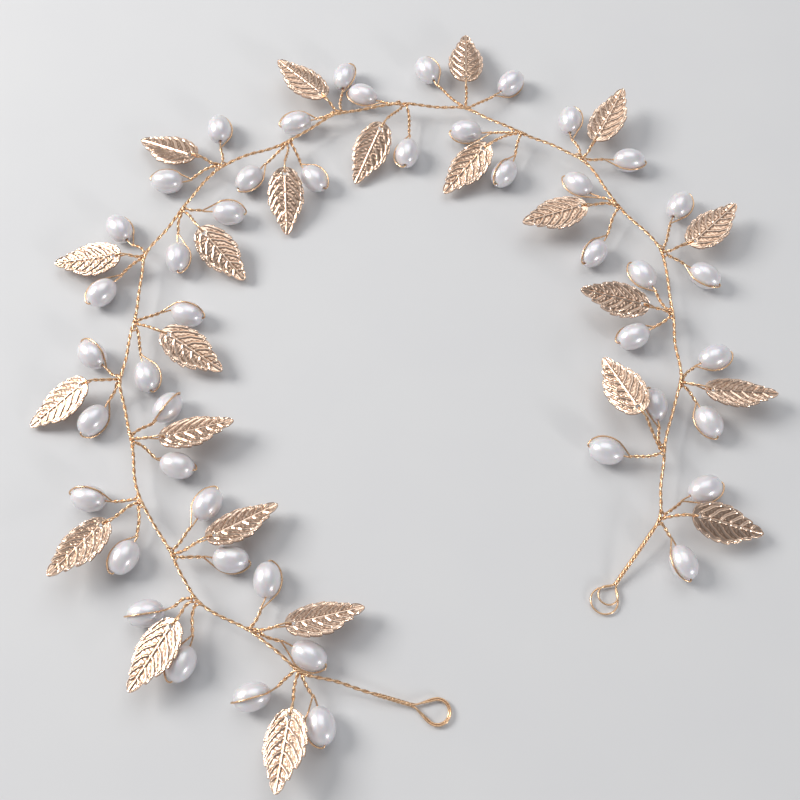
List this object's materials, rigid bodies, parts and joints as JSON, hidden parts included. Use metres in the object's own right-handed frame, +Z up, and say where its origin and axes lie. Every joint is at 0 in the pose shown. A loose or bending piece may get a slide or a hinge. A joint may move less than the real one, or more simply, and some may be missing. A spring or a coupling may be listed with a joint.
{
  "type": "bridal hair vine",
  "caption": "Bridal hair vine: a soft twisted-wire stem bent into an open ring, with an eyelet at each end and sprigs of a stamped leaf between two rice pearls.",
  "frame": {"origin": "the middle of the open ring, on the surface that the vine lies on", "axes": "+Z up from that surface; +Y along the ring's longer width, away from its open side, where both eyelets are; +X to the right as seen from above, towards the arm that ends in the double eyelet"},
  "size_m": [0.1701, 0.191, 0.0099],
  "materials": {
    "wire": "bright light gold plating",
    "pearl": "soft pearly gloss, ivory",
    "leaf": "satin champagne gold"
  },
  "bodies": {
    "length_1": {"stem_wires_1": "wire", "twig_wires_1": "wire", "pearls_01": "pearl", "pearls_02": "pearl", "pearls_03": "pearl"},
    "length_2": {"stem_wires_2": "wire", "twig_wires_2": "wire", "pearls_04": "pearl", "pearls_05": "pearl", "pearls_06": "pearl"},
    "length_3": {"stem_wires_3": "wire", "twig_wires_3": "wire", "pearls_07": "pearl", "pearls_08": "pearl", "pearls_09": "pearl", "pearls_10": "pearl"},
    "length_4": {"stem_wires_4": "wire", "twig_wires_4": "wire", "pearls_11": "pearl", "pearls_12": "pearl", "pearls_13": "pearl", "pearls_14": "pearl"},
    "length_5": {"stem_wires_5": "wire", "twig_wires_5": "wire", "pearls_15": "pearl", "pearls_16": "pearl", "pearls_17": "pearl"},
    "length_6": {"stem_wires_6": "wire", "twig_wires_6": "wire", "pearls_18": "pearl", "pearls_19": "pearl", "pearls_20": "pearl"},
    "length_7": {"stem_wires_7": "wire", "twig_wires_7": "wire", "pearls_21": "pearl", "pearls_22": "pearl", "pearls_23": "pearl"},
    "leaf_01": {"leaf_01": "leaf"},
    "leaf_02": {"leaf_02": "leaf"},
    "leaf_03": {"leaf_03": "leaf"},
    "leaf_04": {"leaf_04": "leaf"},
    "leaf_05": {"leaf_05": "leaf"},
    "leaf_06": {"leaf_06": "leaf"},
    "leaf_07": {"leaf_07": "leaf"},
    "leaf_08": {"leaf_08": "leaf"},
    "leaf_09": {"leaf_09": "leaf"},
    "leaf_10": {"leaf_10": "leaf"},
    "leaf_11": {"leaf_11": "leaf"},
    "leaf_12": {"leaf_12": "leaf"},
    "leaf_13": {"leaf_13": "leaf"},
    "leaf_14": {"leaf_14": "leaf"},
    "leaf_15": {"leaf_15": "leaf"},
    "leaf_16": {"leaf_16": "leaf"},
    "leaf_17": {"leaf_17": "leaf"},
    "leaf_18": {"leaf_18": "leaf"},
    "leaf_19": {"leaf_19": "leaf"},
    "leaf_20": {"leaf_20": "leaf"},
    "leaf_21": {"leaf_21": "leaf"},
    "leaf_22": {"leaf_22": "leaf"},
    "leaf_23": {"leaf_23": "leaf"}
  },
  "joints": [
    {"name": "bend_3", "type": "hinge", "parent": "length_4", "child": "length_3", "pos_m": [-0.05017, 0.04687, 0.0045], "axis": [0, 0, 1], "range_deg": [-30, 10]},
    {"name": "bend_2", "type": "hinge", "parent": "length_3", "child": "length_2", "pos_m": [-0.06303, -0.01286, 0.0045], "axis": [0, 0, 1], "range_deg": [-30, 10]},
    {"name": "bend_1", "type": "hinge", "parent": "length_2", "child": "length_1", "pos_m": [-0.04684, -0.0518, 0.0045], "axis": [0, 0, 1], "range_deg": [-30, 15]},
    {"name": "bend_4", "type": "hinge", "parent": "length_4", "child": "length_5", "pos_m": [0.00785, 0.07173, 0.0045], "axis": [0, 0, 1], "range_deg": [-15, 30]},
    {"name": "bend_5", "type": "hinge", "parent": "length_5", "child": "length_6", "pos_m": [0.04867, 0.04868, 0.0045], "axis": [0, 0, 1], "range_deg": [-15, 30]},
    {"name": "bend_6", "type": "hinge", "parent": "length_6", "child": "length_7", "pos_m": [0.06311, 0.00267, 0.0045], "axis": [0, 0, 1], "range_deg": [-15, 30]},
    {"name": "leaf_01_swivel", "type": "hinge", "parent": "length_1", "child": "leaf_01", "pos_m": [-0.02305, -0.08045, 0.0055], "axis": [-0.1857, 0.1939, 0.9633], "range_deg": [-12, 12]},
    {"name": "leaf_02_swivel", "type": "hinge", "parent": "length_1", "child": "leaf_02", "pos_m": [-0.02315, -0.0618, 0.0055], "axis": [-0.0389, 0.4741, 0.8796], "range_deg": [-12, 12]},
    {"name": "leaf_03_swivel", "type": "hinge", "parent": "length_1", "child": "leaf_03", "pos_m": [-0.04816, -0.06241, 0.006], "axis": [-0.1818, 0.1008, 0.9781], "range_deg": [-12, 12]},
    {"name": "leaf_04_swivel", "type": "hinge", "parent": "length_2", "child": "leaf_04", "pos_m": [-0.0409, -0.04286, 0.0055], "axis": [-0.1358, 0.4079, 0.9029], "range_deg": [-12, 12]},
    {"name": "leaf_05_swivel", "type": "hinge", "parent": "length_2", "child": "leaf_05", "pos_m": [-0.06507, -0.04047, 0.0055], "axis": [-0.0593, 0.2619, 0.9633], "range_deg": [-12, 12]},
    {"name": "leaf_06_swivel", "type": "hinge", "parent": "length_2", "child": "leaf_06", "pos_m": [-0.05299, -0.02006, 0.0055], "axis": [-0.097, 0.3618, 0.9272], "range_deg": [-12, 12]},
    {"name": "leaf_07_swivel", "type": "hinge", "parent": "length_3", "child": "leaf_07", "pos_m": [-0.07295, -0.00793, 0.0065], "axis": [-0.3767, -0.0411, 0.9254], "range_deg": [-12, 12]},
    {"name": "leaf_08_swivel", "type": "hinge", "parent": "length_3", "child": "leaf_08", "pos_m": [-0.05466, 0.00552, 0.0055], "axis": [0.0688, -0.1486, 0.9865], "range_deg": [-12, 12]},
    {"name": "leaf_09_swivel", "type": "hinge", "parent": "length_3", "child": "leaf_09", "pos_m": [-0.06924, 0.0266, 0.0055], "axis": [-0.1736, -0.0045, 0.9848], "range_deg": [-12, 10]},
    {"name": "leaf_10_swivel", "type": "hinge", "parent": "length_3", "child": "leaf_10", "pos_m": [-0.04831, 0.03302, 0.0055], "axis": [0.0738, -0.2122, 0.9744], "range_deg": [-12, 12]},
    {"name": "leaf_11_swivel", "type": "hinge", "parent": "length_4", "child": "leaf_11", "pos_m": [-0.05325, 0.05586, 0.0055], "axis": [-0.1159, 0.1552, 0.9811], "range_deg": [-12, 12]},
    {"name": "leaf_12_swivel", "type": "hinge", "parent": "length_4", "child": "leaf_12", "pos_m": [-0.02929, 0.04952, 0.0065], "axis": [0.0142, -0.3253, 0.9455], "range_deg": [-12, 12]},
    {"name": "leaf_13_swivel", "type": "hinge", "parent": "length_4", "child": "leaf_13", "pos_m": [-0.02122, 0.07504, 0.0055], "axis": [0.1188, 0.0803, 0.9897], "range_deg": [-12, 12]},
    {"name": "leaf_14_swivel", "type": "hinge", "parent": "length_4", "child": "leaf_14", "pos_m": [-0.00584, 0.06312, 0.0065], "axis": [-0.071, -0.3444, 0.9361], "range_deg": [-12, 12]},
    {"name": "leaf_15_swivel", "type": "hinge", "parent": "length_5", "child": "leaf_15", "pos_m": [0.01624, 0.08022, 0.0055], "axis": [0.0021, 0.1219, 0.9925], "range_deg": [-12, 12]},
    {"name": "leaf_16_swivel", "type": "hinge", "parent": "length_5", "child": "leaf_16", "pos_m": [0.02007, 0.0578, 0.0055], "axis": [-0.2147, -0.1082, 0.9707], "range_deg": [-12, 12]},
    {"name": "leaf_17_swivel", "type": "hinge", "parent": "length_5", "child": "leaf_17", "pos_m": [0.04904, 0.0616, 0.0055], "axis": [-0.268, 0.0472, 0.9623], "range_deg": [-12, 12]},
    {"name": "leaf_18_swivel", "type": "hinge", "parent": "length_6", "child": "leaf_18", "pos_m": [0.04323, 0.04074, 0.0055], "axis": [0.0029, 0.0938, 0.9956], "range_deg": [-12, 12]},
    {"name": "leaf_19_swivel", "type": "hinge", "parent": "length_6", "child": "leaf_19", "pos_m": [0.07, 0.03064, 0.0055], "axis": [-0.0949, 0.1018, 0.9903], "range_deg": [-12, 12]},
    {"name": "leaf_20_swivel", "type": "hinge", "parent": "length_6", "child": "leaf_20", "pos_m": [0.05597, 0.01321, 0.006], "axis": [0.2059, -0.0289, 0.9781], "range_deg": [-12, 12]},
    {"name": "leaf_21_swivel", "type": "hinge", "parent": "length_7", "child": "leaf_21", "pos_m": [0.06968, -0.00891, 0.006], "axis": [0.0873, 0.3731, 0.9237], "range_deg": [-12, 12]},
    {"name": "leaf_22_swivel", "type": "hinge", "parent": "length_7", "child": "leaf_22", "pos_m": [0.05187, -0.01422, 0.0087], "axis": [-0.2727, 0.1012, 0.9568], "range_deg": [-12, 12]},
    {"name": "leaf_23_swivel", "type": "hinge", "parent": "length_7", "child": "leaf_23", "pos_m": [0.06339, -0.0388, 0.0065], "axis": [0.2375, -0.0462, 0.9703], "range_deg": [-12, 12]}
  ]
}
